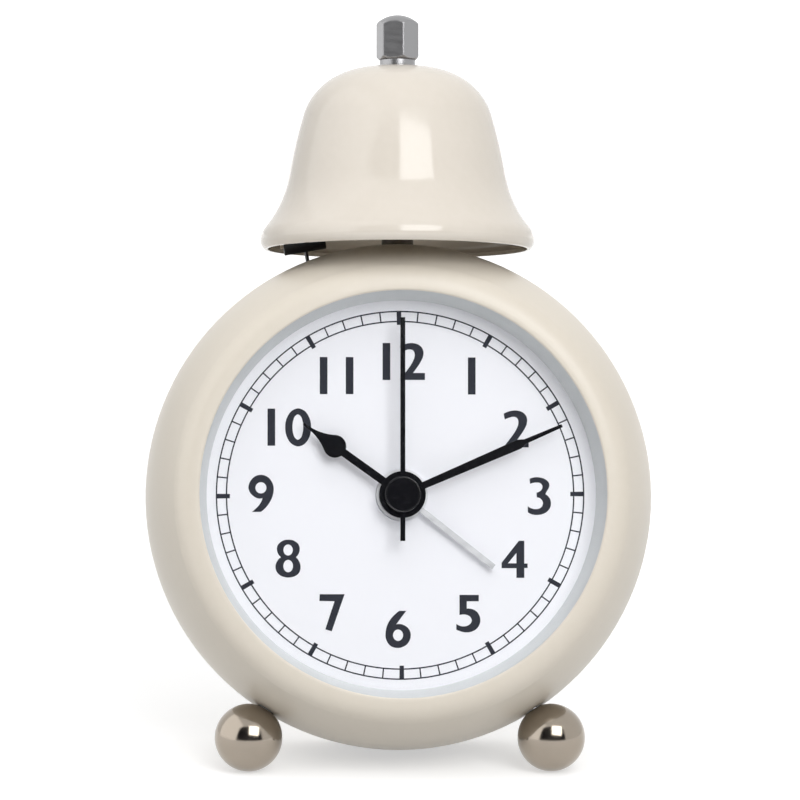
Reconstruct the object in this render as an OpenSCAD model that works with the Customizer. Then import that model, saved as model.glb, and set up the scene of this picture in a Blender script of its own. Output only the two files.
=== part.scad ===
// Bell alarm clock: round pressed case on ball feet, one tall bell with a hammer inside it.
// Millimetres, +Z up, front towards -Y, standing on z = 0.
// Pieces are drawn in the clock's own frame: dial axis along +Y, y = 0 at the front of the case.
// stand() then leans them back on the two feet and the lower rear edge of the case.

/* [Case] */
// Outside diameter of the case at its widest
case_d = 90; // [82:1:98]
// Depth of the case from front to rear
case_depth = 40; // [36:0.5:44]
// Thickness of the pressed sheet
sheet = 0.8; // [0.6:0.1:0.9]
// Diameter of the dial opening
open_d = 71.6; // [70:0.2:72.4]
// Radius of the round beside the dial opening
front_round = 4.5; // [4:0.1:5]
// Depth at which the case is widest
belt_y = 17; // [16:0.5:18]
// Radius of the round at the rear edge
rear_round = 5; // [4:0.2:5]

/* [Dial] */
// Depth of the dial face behind the front of the case
dial_y = 7.4; // [7.2:0.1:8]
// Thickness of the lens
lens_t = 1.5; // [1.2:0.1:1.6]
// Thickness of the dial
dial_t = 0.6; // [0.4:0.1:0.8]

/* [Hands] */
// Hour shown
show_hour = 10; // [0:1:11]
// Minute shown
show_minute = 11.1; // [0:0.1:59.9]
// Alarm hour set
alarm_hour = 4.27; // [0:0.01:11.99]
// Length of the hour hand
hour_len = 21.4; // [19:0.1:24]
// Length of the minute hand
minute_len = 30.7; // [27:0.1:32]
// Length of the second hand
second_len = 31.2; // [26:0.1:32.5]
// Length of the alarm hand
alarm_len = 20.6; // [16:0.1:24]

/* [Bell] */
// Diameter of the bell at the rim
bell_d = 49; // [48:0.5:52]
// Thickness of the bell wall
bell_t = 0.9; // [0.7:0.1:1.1]
// Depth of the bell axis behind the front of the case
bell_y = 20.5; // [20:0.5:22]
// Diameter of the bell post
post_d = 5.7; // [5:0.1:6.5]
// Width across the flats of the cap nut
nut_af = 6.7; // [6:0.1:7.5]
// Height of the cap nut with its dome
nut_h = 8; // [7:0.1:9]

/* [Feet] */
// Diameter of the ball feet
foot_d = 12; // [11:0.2:13]
// Angle of each foot from straight down
foot_angle = 32.1; // [29:0.1:35]
// Depth of the foot centres behind the front of the case
foot_y = 12.2; // [11.5:0.1:13]

/* [Movement] */
// Centre distance from the hands to the time setting arbor
set_c = 10; // [9.8:0.1:10.4]
// Centre distance from the hands to the alarm setting arbor
alarm_c = 12; // [11.6:0.1:12.6]
// Centre distance of the second and third wheels of the going train
train_c = 9.6; // [9.5:0.1:9.9]

/* [Battery] */
// Diameter of the cell
cell_d = 14.2; // [13.6:0.1:14.5]
// Length of the cell body without its button
cell_l = 48.5; // [47:0.1:49]

/* [Rear] */
// Diameter of the two setting knobs
knob_d = 13; // [11:0.5:14]
// Height of the two setting knobs
knob_h = 6; // [4:0.5:7]
// Travel of the alarm switch
switch_travel = 4; // [3:0.5:4.5]

/* [Fits] */
// Radial clearance of a turning fit
run_fit = 0.05; // [0.03:0.01:0.07]
// Clearance of a loose fit
loose_fit = 0.2; // [0.15:0.05:0.25]
// Play between gear teeth, as a share of the module
tooth_play = 0.3; // [0.25:0.01:0.36]

/* [Hidden] */
$fa = 3;
$fs = 0.4;

// Case outline: front round, shoulder, belly and rear round meet tangentially
case_r = case_d / 2;
lip_r = open_d / 2;
flat_r = lip_r + 0.8;
shoulder_w = case_r - flat_r;
edge_round = min(front_round, shoulder_w * 0.6);
shoulder_r = (pow(shoulder_w, 2) + pow(belt_y - edge_round, 2) - pow(edge_round, 2))
  / (2 * (shoulder_w - edge_round));
belly_r = 162;
c_front = [flat_r, edge_round];
c_shoulder = [case_r - shoulder_r, belt_y];
c_belly = [case_r - belly_r, belt_y];
rear_y = case_depth - rear_round;
c_rear = [c_belly[0] + sqrt(pow(belly_r - rear_round, 2) - pow(rear_y - belt_y, 2)), rear_y];
rear_open_r = c_rear[0] - 0.4;

// Dial stack
lens_y = sheet + lens_t;
ring_r = lip_r + 2.1;
dial_back = dial_y + dial_t;
plate_y = dial_back + 2;
ring_in = lip_r - 1.4;

// Hands, front faces counted back from the lens
hand_t = 0.3;
alarm_y = dial_y - 1.5;
hour_y = dial_y - 2.4;
minute_y = dial_y - 3.25;
second_y = dial_y - 4.1;
minute_turn = show_minute * 6;
hour_turn = show_hour * 30 + show_minute / 2;
alarm_turn = alarm_hour * 30;

// Nested arbors on the dial axis
second_r = 0.6;
cannon_r = 1.5;
hour_r = 2.4;
alarm_r = 3.2;
bush_r = 4.5;

// Rear cover and the depth of the battery bay
cover_y0 = case_depth - 2;
cover_r = rear_open_r - 0.2;
door_t = 1.4;
bay_wall = 1.2;
bay_y = case_depth - door_t - cell_d - 0.8;

// Movement box between the dial and the battery bay; its layers share out that depth
box_gap = 0.4;
box_y = bay_y - bay_wall - box_gap;
deep = (box_y - plate_y) / 12;
box_x = 26;
box_top = 18;
box_low = -26;
box_wall = 1.2;
pivot_r = 0.4;
knob_arbor_r = 0.8;
pivot_in = 1;

// Axes of the wheels as [x, z]
p_set = [set_c * 0.8, set_c * 0.6];
p_alarm = [-alarm_c * cos(30), alarm_c * sin(30)];
p_third = [train_c * cos(250), train_c * sin(250)];
p_step = [train_c * cos(310), train_c * sin(310)];
step_c = 8.4;
p_rotor = [p_step[0] + step_c * cos(340), p_step[1] + step_c * sin(340)];

// Tooth counts of each pair, pinion first
set_teeth = [10, 30];
hour_teeth = [10, 40];
alarm_teeth = [20, 40];
third_teeth = [8, 60];
centre_teeth = [8, 64];
step_teeth = [10, 50];
rotor_teeth = [8, 48];

// Layers of the wheels behind the movement plate
y_alarm = plate_y + 0.3 * deep;
y_hour = plate_y + 1.6 * deep;
y_set = plate_y + 3.2 * deep;
y_centre = plate_y + 4.8 * deep;
y_third = plate_y + 6.2 * deep;
y_second = plate_y + 7.5 * deep;
y_step = plate_y + 8.8 * deep;

// Stepping motor
stator_y = plate_y + 5.4 * deep;
magnet_y = plate_y + 4 * deep;
coil_z = -19.5;
core_r = 1.2 * deep;
stator_t = deep;
board_t = deep;
board_y = plate_y + 1.6 * deep;

// Battery bay, set as low in the rear cover as its corners allow
bay_edge = 0.68;
bay_x = cell_l / 2 + 3;
bay_z = cell_d / 2 + 0.4;
bay_cz = bay_z + bay_wall - sqrt(pow(cover_r - bay_edge, 2) - pow(bay_x + bay_wall, 2));
cell_y = bay_y + cell_d / 2;
contact_t = 0.4;
button_x = cell_l / 2 + 1.2;
door_z0 = bay_cz - bay_z + loose_fit;
door_z1 = bay_cz + bay_z - loose_fit;
hinge_r = door_t / 2;
bracket_turns = [0, 150, 210];
screw_in = cover_r - 3.16;
bracket_in = screw_in - 2.6;
bracket_t = 1.5;
bracket_out = rear_open_r + 2.6;
leg_y = bell_y + 6.5;
weld_y = leg_y + 6;
weld_r = c_belly[0] - 0.01 + sqrt(pow(belly_r - sheet, 2) - pow(weld_y - belt_y, 2));
pillar_turns = [90, 180, 270];
pillar_r = 2.4;
pillar_in = cover_r - pillar_r - 1.96;
switch_z = 23;
switch_w = 6;
switch_h = 3;

// Bell profile, drawn for a 49 mm rim and scaled with the rim: rounded rim, edge, flare, side, shoulder
// and crown
bell_k = bell_d / 49;
bell_z = case_r - 0.6;
rim_mid = 1.52;
rim_arc = [22.5, rim_mid, 2, -asin(rim_mid / 2), 0];
edge_arc = [20.7, rim_mid, 3.8, 0, 39.7];
flare_arc = [20.7 + 22.8 * cos(39.7), rim_mid + 22.8 * sin(39.7), -19, 39.7, 10];
side_c = [flare_arc[0] - 120 * cos(10), flare_arc[1] - 120 * sin(10)];
side_arc = [side_c[0], side_c[1], 101, 10, 16.5];
shoulder_c = [side_c[0] + 89.4 * cos(16.5), side_c[1] + 89.4 * sin(16.5)];
bell_shoulder_arc = [shoulder_c[0], shoulder_c[1], 11.6, 16.5, 60];
crown_c = [shoulder_c[0] - 3.7 * cos(60), shoulder_c[1] - 3.7 * sin(60)];
crown_arc = [crown_c[0], crown_c[1], 15.3, 60, 90];
BELL_ARCS = [rim_arc, edge_arc, flare_arc, side_arc, bell_shoulder_arc, crown_arc];
bell_top = bell_z + bell_k * (crown_c[1] + 15.3);
crown_in = bell_top - bell_t;
stud_r = 1.95;
collar_t = 1.3;
nut_z = bell_top + collar_t;
dome_h = nut_h * 0.16;
wall_in = case_r - sheet - pow(bell_y - belt_y, 2) / (2 * belly_r);
washer_r = 4;
washer_top = wall_in - 0.03 - pow(washer_r, 2) / (2 * (case_r - sheet));

// Hammer, drawn upright on its pivot and then leaned towards the bell wall
pivot = [-12.5, box_top + 4];
hammer_lean = 10;
head_l = 7.5;
head_r = 2.2;
head_h = (bell_z + 1.6 - pivot[1]) / cos(hammer_lean);
wire_r = 0.35;
lever_w = 6;
lever_h = 9;
slot_x = pivot[0] - (case_r - 3 - pivot[1]) * tan(hammer_lean);
coil_in = -16.1;
coil_h = 27;
yoke_top = coil_h + 3.5;
yoke_t = 0.8;
yoke_gap = 3.56;
yoke_x = yoke_t - sqrt(pow(wall_in - yoke_gap, 2) - pow(yoke_top, 2));
coil_out = yoke_x + 0.4;
bracket_screw_y = bell_y - 2.6;
bracket_screw_x = [-14, (yoke_x - 15.4) / 2];

// Feet, seated square on the shoulder of the case
foot_r = foot_d / 2;
foot_out = shoulder_r + foot_r - 0.2;
foot_tilt = asin((belt_y - foot_y) / foot_out);
foot_z = c_shoulder[0] + foot_out * cos(foot_tilt);
foot_screw_r = 1.5;
foot_head_r = 2.6;
foot_head_z = shoulder_r - sheet - 0.03 - pow(foot_head_r, 2) / (2 * (shoulder_r - sheet));

// Lean that puts both feet and the rear round on the floor
lean_a = rear_y - foot_y;
lean_b = c_rear[0] - foot_z * cos(foot_angle);
lean_c = foot_r - rear_round;
lean = asin(lean_c / sqrt(pow(lean_a, 2) + pow(lean_b, 2))) - atan2(lean_b, lean_a);
stand_z = rear_y * sin(lean) + c_rear[0] * cos(lean) + rear_round;
front_reach = flat_r * sin(lean) - edge_round * cos(lean) + edge_round;
rear_reach = (bell_y + bell_d / 2) * cos(lean) + bell_z * sin(lean);
stand_y = (front_reach - rear_reach) / 2;

// Shared shapes

module stand() {
  translate([0, stand_y, stand_z]) rotate([-lean, 0, 0]) children();
}

module rod(r, y0, y1) {
  translate([0, y0, 0]) rotate([-90, 0, 0]) cylinder(r = r, h = y1 - y0);
}

module slab(y0, y1) {
  translate([0, y1, 0]) rotate([90, 0, 0]) linear_extrude(height = y1 - y0) children();
}

module turned() {
  rotate([-90, 0, 0]) rotate_extrude() children();
}

module at(p) {
  translate([p[0], 0, p[1]]) children();
}

module spaced(turns, out) {
  for (t = turns) rotate([0, t, 0]) translate([0, 0, out]) children();
}

// Sub-part: gear with involute flanks drawn straight, one tooth pointing along +X
function involute(a) = tan(a) * 180 / PI - a;
function half_tooth(n, m, r) =
  90 / n - tooth_play / n * 90 / PI + involute(20)
  - involute(acos(min(1, n * m / 2 * cos(20) / r)));
function tooth_edge(n, m) =
  let (rp = n * m / 2, root = rp - 1.15 * m, tip = rp + 0.75 * m, base = max(root + 0.01, rp * cos(20)))
  [[root, half_tooth(n, m, base)], [base, half_tooth(n, m, base)], [tip, half_tooth(n, m, tip)]];
function gear_points(n, m) =
  let (e = tooth_edge(n, m))
  [for (i = [0:n - 1]) for (j = [0:5])
    let (p = e[j < 3 ? j : 5 - j], a = i * 360 / n + (j < 3 ? -1 : 1) * p[1])
    p[0] * [cos(a), sin(a)]];

module gear(n, m, y0, y1, turn) {
  slab(y0, y1) rotate(turn) polygon(gear_points(n, m));
}

function direction(p, q) = atan2(q[1] - p[1], q[0] - p[0]);

// Sub-part: outline of the case from the axis outwards, set in by the given amount
module drum_half(inset) {
  u = (c_front - c_shoulder) / norm(c_front - c_shoulder);
  v = (c_rear - c_belly) / norm(c_rear - c_belly);
  far = case_r + 20;
  translate(c_front) circle(r = edge_round - inset);
  intersection() {
    translate(c_shoulder) circle(r = shoulder_r - inset);
    polygon([c_shoulder, c_shoulder + u * 60, [far, -20], [far, belt_y]]);
  }
  intersection() {
    translate(c_belly) circle(r = belly_r - inset);
    polygon([c_shoulder, [far, belt_y], [far, rear_y], c_rear + v * 20, c_rear]);
  }
  translate(c_rear) circle(r = rear_round - inset);
  polygon([[0, inset], [flat_r, inset], c_front, c_shoulder, c_rear,
    [c_rear[0], case_depth - inset], [0, case_depth - inset]]);
}

module case_shell() color("#e4ddd0") stand() difference() {
  turned() {
    difference() {
      drum_half(0);
      drum_half(sheet);
      translate([0, -1]) square([lip_r + sheet / 2, sheet + 2]);
      translate([0, case_depth - 3]) square([rear_open_r, 5]);
    }
    translate([lip_r + sheet / 2, sheet / 2]) circle(r = sheet / 2);
  }
  translate([0, bell_y, case_r - 5]) cylinder(r = stud_r + loose_fit, h = 10);
  translate([slot_x - 3.2, bell_y - 1, case_r - 10]) cube([4.6, 2, 20]);
  for (side = [-1, 1]) foot_frame(side) translate([0, 0, -shoulder_r - 3])
    cylinder(r = foot_screw_r + loose_fit, h = 6);
}

// Sub-part: brackets welded inside the case, which take the rear cover's screws
module cover_brackets() color("#b9bcc0") stand() spaced(bracket_turns, 0) difference() {
  union() {
    translate([-4, cover_y0 - bracket_t, bracket_in]) cube([8, bracket_t, bracket_out - bracket_in]);
    translate([-4, leg_y, bracket_out - 1.2]) cube([8, cover_y0 - leg_y, 1.2]);
    intersection() {
      translate([-4, leg_y, bracket_out - 1.2]) cube([8, weld_y - leg_y, 10]);
      rod(weld_r, 0, case_depth);
    }
  }
  translate([0, 0, screw_in]) rod(1.2, cover_y0 - 4, cover_y0 + 1);
}

module lens() color("#dfe9ee", 0.3) stand() rod(flat_r, sheet, lens_y);

// Sub-part: white wall between the lens and the dial
module dial_ring() color("#f2f2f0") stand() turned()
  polygon([[lip_r + 0.3, lens_y], [ring_r, lens_y], [ring_r, dial_y], [ring_in, dial_y]]);

module dial() color("#f4f4f2") stand() difference() {
  rod(ring_r, dial_y, dial_back);
  rod(bush_r + 0.1, dial_y - 1, dial_back + 1);
}

// Hands, each drawn pointing at twelve and turned to the time shown

module alarm_hand() color("#b8babd") stand() rotate([0, alarm_turn, 0])
  slab(alarm_y, alarm_y + hand_t) difference() {
    union() {
      circle(r = alarm_r + 0.9);
      translate([-0.5, 0]) square([1, alarm_len]);
    }
    circle(r = alarm_r);
  }

module hour_hand() color("#1b1b1d") stand() rotate([0, hour_turn, 0])
  slab(hour_y, hour_y + hand_t) difference() {
    union() {
      circle(r = hour_r + 1.3);
      translate([-0.7, 0]) square([1.4, hour_len - 7]);
      translate([0, hour_len - 6.8]) circle(r = 2);
      spade_tip();
    }
    circle(r = hour_r);
  }

// Sub-part: point of the hour hand, hollowed on both sides
module spade_tip() {
  low = [1.74, hour_len - 5.8];
  high = [0.25, hour_len];
  along = (high - low) / norm(high - low);
  dip = 0.5;
  hollow_r = pow(norm(high - low), 2) / 8 / dip + dip / 2;
  hollow_c = (low + high) / 2 + [along[1], -along[0]] * (hollow_r - dip);
  difference() {
    polygon([low, high, [-high[0], high[1]], [-low[0], low[1]]]);
    for (side = [0, 1]) mirror([side, 0]) translate(hollow_c) circle(r = hollow_r);
  }
}

module minute_hand() color("#1b1b1d") stand() rotate([0, minute_turn, 0])
  slab(minute_y, minute_y + hand_t) difference() {
    union() {
      circle(r = 4.12);
      polygon([
        [-0.58, 0], [0.58, 0], [0.87, minute_len - 8.3], [0.44, minute_len - 7.1], [0.3, minute_len],
        [-0.3, minute_len], [-0.44, minute_len - 7.1], [-0.87, minute_len - 8.3]
      ]);
    }
    circle(r = cannon_r);
  }

module second_hand() color("#1b1b1d") stand() difference() {
  union() {
    slab(second_y, second_y + hand_t) translate([-0.43, -8.2]) square([0.86, 8.2 + second_len]);
    rod(3.2, second_y - 0.2, second_y + 0.45);
  }
  rod(second_r, second_y + 0.1, second_y + 3);
}

// Movement

// Sub-part: round plate behind the dial, with the bush that carries the hands
module movement_front() color("#e9e6dc") stand() difference() {
  union() {
    rod(ring_r, dial_back, plate_y);
    rod(bush_r, alarm_y + 0.4, plate_y);
    for (x = [9.9, 22.6]) at([x, -7.6]) rod(1, plate_y, stator_y);
    for (p = [[-22.5, -13.5], [-22.5, -22.5], [-11, -22.5]]) at(p) rod(1.2, plate_y, board_y);
  }
  rod(alarm_r + run_fit, 0, plate_y + 1);
  for (p = [p_third, p_step, p_rotor]) at(p) rod(pivot_r + run_fit, plate_y - pivot_in - 0.1, plate_y + 1);
  for (p = [p_set, p_alarm])
    at(p) rod(knob_arbor_r + run_fit, plate_y - pivot_in - 0.1, plate_y + 1);
  ear_places() rod(1, dial_back + 0.5, plate_y + 1);
}

module ear_places() {
  for (x = [-28.4, 28.4]) for (z = [-9, 9]) at([x, z]) children();
}

// Sub-part: box over the wheels, with an ear at each side for its screws
module movement_rear() color("#e9e6dc") stand() difference() {
  union() {
    translate([-box_x, plate_y, box_low]) cube([2 * box_x, box_y - plate_y, box_top - box_low]);
    ear_places() rod(2.5, plate_y, plate_y + 2);
    for (x = [-28.4, 25]) for (z = [-9, 9])
      translate([x, plate_y, z - 2.5]) cube([3.4, 2, 5]);
  }
  translate([-box_x + box_wall, plate_y - 1, box_low + box_wall])
    cube([2 * (box_x - box_wall), box_y - plate_y + 1 - box_wall, box_top - box_low - 2 * box_wall]);
  ear_places() rod(1.1, plate_y - 1, plate_y + 3);
  rod(second_r + run_fit, box_y - 2, box_y - 0.4);
  for (p = [p_third, p_step, p_rotor]) at(p) rod(pivot_r + run_fit, box_y - 2, box_y - 0.4);
  for (p = [p_set, p_alarm]) at(p) rod(knob_arbor_r + run_fit, box_y - 2, box_y + 1);
  for (x = bracket_screw_x) translate([x, bracket_screw_y, box_top - 4]) cylinder(r = 0.8, h = 6);
}

module movement_screws() color("#c3c5c8") stand() ear_places() {
  rod(1, dial_back + 0.6, plate_y + 2);
  rod(1.9, plate_y + 2, plate_y + 3.2);
}

// Sub-part: second wheel, its pinion and the arbor that carries the second hand
module second_arbor() color("#c9a45c") stand() {
  rod(second_r, second_y + 0.1, box_y - 0.5);
  gear(third_teeth[0], 2 * train_c / (third_teeth[0] + third_teeth[1]),
    y_third - 0.2 * deep, y_third + 0.9 * deep,
    direction([0, 0], p_third));
  gear(step_teeth[1], 2 * train_c / (step_teeth[0] + step_teeth[1]), y_second, y_second + 0.7 * deep,
    direction([0, 0], p_step));
}

// Sub-part: minute tube with the pinion that drives the motion work
module cannon_pinion() color("#c9a45c") stand() difference() {
  union() {
    rod(cannon_r, minute_y - 0.1, y_centre + 1.1 * deep);
    gear(set_teeth[0], 2 * set_c / (set_teeth[0] + set_teeth[1]), y_set - 0.2 * deep, y_set + 1.2 * deep,
      direction([0, 0], p_set));
  }
  rod(second_r + run_fit, 0, box_y);
}

// Sub-part: centre wheel, a slipping fit on the cannon pinion
module centre_wheel() color("#c9a45c") stand() difference() {
  union() {
    rod(2.6, y_centre - 0.2 * deep, y_centre + 0.9 * deep);
    gear(centre_teeth[1], 2 * train_c / (centre_teeth[0] + centre_teeth[1]), y_centre, y_centre + 0.7 * deep,
      direction([0, 0], p_third));
  }
  rod(cannon_r + run_fit, 0, box_y);
}

module third_wheel() color("#c9a45c") stand() at(p_third) {
  back = direction(p_third, [0, 0]);
  rod(pivot_r, plate_y - pivot_in, box_y - 0.5);
  gear(third_teeth[1], 2 * train_c / (third_teeth[0] + third_teeth[1]), y_third, y_third + 0.7 * deep,
    back + 180 / third_teeth[1]);
  gear(centre_teeth[0], 2 * train_c / (centre_teeth[0] + centre_teeth[1]),
    y_centre - 0.3 * deep, y_centre + 1 * deep,
    back + 180 / centre_teeth[0]);
}

module step_wheel() color("#e8e6df") stand() at(p_step) {
  rod(pivot_r, plate_y - pivot_in, box_y - 0.5);
  gear(step_teeth[0], 2 * train_c / (step_teeth[0] + step_teeth[1]),
    y_second - 0.2 * deep, y_second + 0.9 * deep,
    direction(p_step, [0, 0]) + 180 / step_teeth[0]);
  gear(rotor_teeth[1], 2 * step_c / (rotor_teeth[0] + rotor_teeth[1]), y_step, y_step + 0.6 * deep,
    direction(p_step, p_rotor) + 180 / rotor_teeth[1]);
}

module rotor() color("#55575a") stand() at(p_rotor) {
  rod(pivot_r, plate_y - pivot_in, box_y - 0.5);
  rod(2.4, magnet_y, magnet_y + 4 * deep);
  gear(rotor_teeth[0], 2 * step_c / (rotor_teeth[0] + rotor_teeth[1]),
    y_step - 0.2 * deep, y_step + 0.8 * deep,
    direction(p_rotor, p_step));
}

// Sub-part: iron plate around the rotor, with the core that the drive coil is wound on
module stator() color("#9a9da1") stand() difference() {
  union() {
    translate([8.6, stator_y, -14.4]) cube([15.4, stator_t, 8.6]);
    for (x = [8.6, 21.6]) translate([x, stator_y, -21.4]) cube([2.4, stator_t, 8]);
    translate([8.6, stator_y + stator_t / 2, coil_z]) rotate([0, 90, 0]) cylinder(r = core_r, h = 15.4);
  }
  at(p_rotor) rod(2.9, stator_y - 1, stator_y + 2);
}

module drive_coil() color("#b5652d") stand() difference() {
  translate([11.3, stator_y + stator_t / 2, coil_z]) rotate([0, 90, 0])
    cylinder(r = core_r + 2 * deep, h = 10);
  translate([11, stator_y + stator_t / 2, coil_z]) rotate([0, 90, 0]) cylinder(r = core_r + run_fit, h = 11);
}

module hour_wheel() color("#e8e6df") stand() difference() {
  union() {
    rod(hour_r, hour_y - 0.1, y_hour + 1 * deep);
    gear(hour_teeth[1], 2 * set_c / (hour_teeth[0] + hour_teeth[1]), y_hour, y_hour + 0.9 * deep,
      direction([0, 0], p_set));
  }
  rod(cannon_r + run_fit, 0, box_y);
}

module alarm_wheel() color("#e8e6df") stand() difference() {
  union() {
    rod(alarm_r, alarm_y - 0.1, y_alarm + 0.9 * deep);
    gear(alarm_teeth[1], 2 * alarm_c / (alarm_teeth[0] + alarm_teeth[1]), y_alarm, y_alarm + 0.9 * deep,
      direction([0, 0], p_alarm));
  }
  rod(hour_r + run_fit, 0, box_y);
}

// Sub-part: minute wheel and pinion on the arbor that the time knob turns
module setting_wheel() color("#e8e6df") stand() at(p_set) {
  back = direction(p_set, [0, 0]);
  rod(knob_arbor_r, plate_y - pivot_in, case_depth + 4);
  gear(set_teeth[1], 2 * set_c / (set_teeth[0] + set_teeth[1]), y_set, y_set + 1 * deep,
    back + 180 / set_teeth[1]);
  gear(hour_teeth[0], 2 * set_c / (hour_teeth[0] + hour_teeth[1]), y_hour - 0.1 * deep, y_hour + 1.3 * deep,
    back + 180 / hour_teeth[0]);
}

module alarm_arbor() color("#e8e6df") stand() at(p_alarm) {
  rod(knob_arbor_r, plate_y - pivot_in, case_depth + 4);
  gear(alarm_teeth[0], 2 * alarm_c / (alarm_teeth[0] + alarm_teeth[1]),
    y_alarm - 0.1 * deep, y_alarm + 1 * deep,
    direction(p_alarm, [0, 0]) + 180 / alarm_teeth[0]);
}

// Sub-part: ribbed setting knob, pushed onto the end of its arbor
module setting_knob() {
  y0 = case_depth + 0.6;
  difference() {
    union() {
      rod(knob_d / 2 - 0.5, y0, y0 + knob_h);
      slab(y0 + 0.8, y0 + knob_h - 0.6) polygon([for (i = [0:47])
        (knob_d / 2 - (i % 2 == 0 ? 0 : 0.5)) * [cos(i * 7.5), sin(i * 7.5)]]);
    }
    rod(knob_arbor_r, y0 - 1, case_depth + 4);
  }
}

module time_knob() color("#f0eee6") stand() at(p_set) setting_knob();

module alarm_knob() color("#f0eee6") stand() at(p_alarm) setting_knob();

module circuit_board() color("#2f6b3c") stand()
  translate([-24.4, board_y, -24.4]) cube([15.4, board_t, 13]);

module clock_chip() color("#17181a") stand() at([-13.4, -15])
  rod(2.4, board_y + board_t, board_y + board_t + 0.8);

module quartz_crystal() color("#cfd2d6") stand()
  translate([-22, board_y + board_t + 1, -20.5]) rotate([0, 90, 0]) cylinder(r = 1, h = 6);

// Battery bay

module battery() color("#3f4a58") stand() translate([0, cell_y, bay_cz]) rotate([0, 90, 0]) {
  translate([0, 0, -cell_l / 2]) cylinder(r = cell_d / 2, h = cell_l);
  cylinder(r = 2.6, h = button_x);
}

module positive_contact() color("#d0d2d4") stand() {
  translate([bay_x - contact_t, cell_y - 5, bay_cz - 5]) cube([contact_t, 10, 10]);
  translate([button_x, cell_y, bay_cz]) rotate([0, 90, 0])
    cylinder(r = 2, h = bay_x - contact_t - button_x);
}

// Sub-part: coiled wire that presses the cell against the positive contact
module negative_spring() color("#d0d2d4") stand() {
  wire = 0.35;
  x0 = -bay_x + contact_t + 0.2;
  x1 = -cell_l / 2 - wire;
  steps = 60;
  loops = 2.5;
  translate([-bay_x, cell_y - 5, bay_cz - 5]) cube([contact_t, 10, 10]);
  translate([0, cell_y, bay_cz]) for (i = [0:steps - 1]) {
    a = i / steps;
    b = (i + 1) / steps;
    hull() {
      spring_bead(a, x0 + (x1 - x0) * a, loops, wire);
      spring_bead(b, x0 + (x1 - x0) * b, loops, wire);
    }
  }
}

module spring_bead(a, x, loops, wire) {
  r = 4.2 - 1.6 * a;
  turn = 360 * loops * a;
  translate([x, r * cos(turn), r * sin(turn)]) rotate([turn, 0, 0]) rotate([0, 90, 0])
    cube([wire * 1.4, wire * 1.4, 0.02 + wire * 1.4], center = true);
}

// Rear cover

module rear_cover() color("#efece3") stand() difference() {
  union() {
    rod(cover_r, cover_y0, case_depth);
    translate([-bay_x - bay_wall, bay_y - bay_wall, bay_cz - bay_z - bay_wall])
      cube([2 * (bay_x + bay_wall), cover_y0 - bay_y + bay_wall + 0.5, 2 * (bay_z + bay_wall)]);
    spaced(pillar_turns, pillar_in) rod(pillar_r, plate_y, cover_y0 + 0.5);
  }
  difference() {
    translate([-bay_x, bay_y, bay_cz - bay_z]) cube([2 * bay_x, 30, 2 * bay_z]);
    for (side = [-1, 1])
      translate([-bay_x + 4, case_depth - door_t - 0.8, bay_cz + side * (bay_z - 0.25) - 0.25])
        cube([2 * bay_x - 8, 0.8, 0.5]);
  }
  for (p = [p_set, p_alarm]) at(p) rod(knob_arbor_r + loose_fit, cover_y0 - 1, case_depth + 1);
  spaced(bracket_turns, screw_in) {
    rod(1.2 + loose_fit, cover_y0 - 1, case_depth + 1);
    rod(2.2 + loose_fit, case_depth - 0.9, case_depth + 1);
  }
  translate([-switch_w / 2 - switch_travel / 2, cover_y0 - 1, switch_z - switch_h / 2 - loose_fit])
    cube([switch_w + switch_travel, 5, switch_h + 2 * loose_fit]);
}

module cover_screws() color("#c3c5c8") stand() spaced(bracket_turns, screw_in) difference() {
  union() {
    rod(1.2, cover_y0 - 3.5, case_depth - 0.9);
    rod(2.2, case_depth - 0.9, case_depth + 0.3);
  }
  translate([-0.3, case_depth - 0.2, -1.4]) cube([0.6, 1, 2.8]);
  translate([-1.4, case_depth - 0.2, -0.3]) cube([2.8, 1, 0.6]);
}

// Sub-part: battery door, which tilts out on its rounded lower edge
module battery_door() color("#efece3") stand() {
  y0 = case_depth - door_t;
  w = 2 * (bay_x - loose_fit);
  translate([-w / 2, y0, door_z0 + hinge_r]) cube([w, door_t, door_z1 - door_z0 - hinge_r]);
  translate([-w / 2, y0 + hinge_r, door_z0 + hinge_r]) rotate([0, 90, 0]) cylinder(r = hinge_r, h = w);
  for (i = [0:3]) translate([-6, y0 + door_t - 0.2, door_z1 - 2 - i * 1.4]) cube([12, 0.7, 0.6]);
}

module switch_body() color("#26272a") stand() difference() {
  translate([-8, cover_y0 - 5, switch_z - 4]) cube([16, 5, 8]);
  translate([-switch_w / 2 - switch_travel / 2, cover_y0 - 4, switch_z - switch_h / 2 - loose_fit])
    cube([switch_w + switch_travel, 5, switch_h + 2 * loose_fit]);
}

// Sub-part: slider of the alarm switch, drawn at its off end
module alarm_switch() color("#2c2d30") stand()
  translate([-switch_travel / 2, 0, switch_z]) {
    translate([-switch_w / 2 + 0.1, cover_y0 - 4, -switch_h / 2])
      cube([switch_w - 0.2, case_depth + 1.4 - cover_y0 + 4, switch_h]);
    for (x = [-1.6, -0.3, 1]) translate([x, case_depth + 1.2, -switch_h / 2]) cube([0.6, 0.6, switch_h]);
  }

// Hammer and its electromagnet

module hammer_frame() {
  translate([pivot[0], bell_y, pivot[1]]) rotate([0, -hammer_lean, 0]) children();
}

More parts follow.
